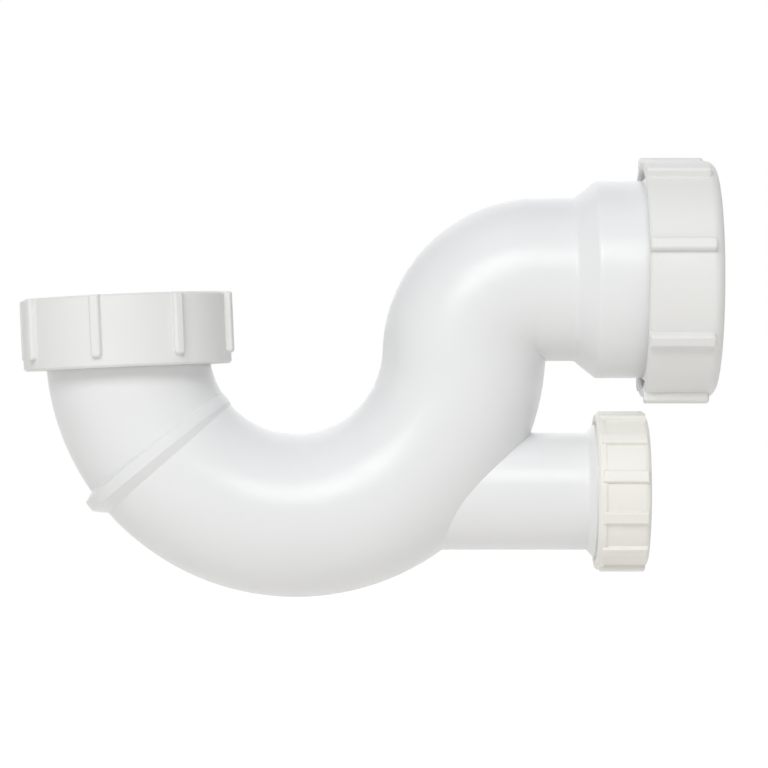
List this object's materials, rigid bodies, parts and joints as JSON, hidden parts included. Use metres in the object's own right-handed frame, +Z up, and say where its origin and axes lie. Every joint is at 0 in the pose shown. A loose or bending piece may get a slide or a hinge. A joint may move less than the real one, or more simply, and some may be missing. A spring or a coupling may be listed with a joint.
{
  "type": "bath trap",
  "caption": "Low tubular bath trap: union nut on a U-bend with a weld collar, tight rise to a ribbed compression outlet, and a capped cleaning eye at the foot.",
  "frame": {"origin": "on the inlet axis, at the top face of the inlet washer, where the union nut's thread begins", "axes": "+Z up along the inlet axis, out of the union nut; +X from the inlet towards the outlet; the outlet and the cleaning eye fall 2.5 degrees below +X"},
  "size_m": [0.1931, 0.068, 0.1171],
  "materials": {
    "body_white": "satin gloss, cool white",
    "nut_white": "fine satin, neutral white",
    "cap_ivory": "satin, warm ivory",
    "slip_plastic": "smooth, natural white",
    "seal_rubber": "matt black rubber"
  },
  "bodies": {
    "trap": {"inlet_elbow": "body_white", "trap_bend": "body_white", "inlet_washer": "seal_rubber", "outlet_seal": "seal_rubber"},
    "union_nut": {"inlet_nut": "nut_white"},
    "slip_ring": {"outlet_slip_washer": "slip_plastic"},
    "compression_nut": {"outlet_nut": "nut_white"},
    "cap_ring": {"eye_washer": "seal_rubber"},
    "screw_cap": {"eye_cap": "cap_ivory"}
  },
  "joints": [
    {"name": "inlet_nut_turn", "type": "hinge", "parent": "trap", "child": "union_nut", "pos_m": [0, 0, 0], "axis": [0, 0, 1], "continuous": true},
    {"name": "outlet_nut_travel", "type": "slide", "parent": "trap", "child": "slip_ring", "axis": [0.999, 0, -0.0436], "range_m": [0, 0.01227]},
    {"name": "outlet_nut_turn", "type": "hinge", "parent": "slip_ring", "child": "compression_nut", "pos_m": [0.15798, 0, 0.00822], "axis": [0.999, 0, -0.0436], "range_deg": [0, 1905]},
    {"name": "cap_travel", "type": "slide", "parent": "trap", "child": "cap_ring", "axis": [0.999, 0, -0.0436], "range_m": [0, 0.00868]},
    {"name": "cap_turn", "type": "hinge", "parent": "cap_ring", "child": "screw_cap", "pos_m": [0.13748, 0, -0.04912], "axis": [0.999, 0, -0.0436], "range_deg": [0, 1035]}
  ],
  "couplings": [
    {"joint": "outlet_nut_travel", "follows": "outlet_nut_turn", "m_per_rad": 0.00036749},
    {"joint": "cap_travel", "follows": "cap_turn", "m_per_rad": 0.00047746}
  ]
}
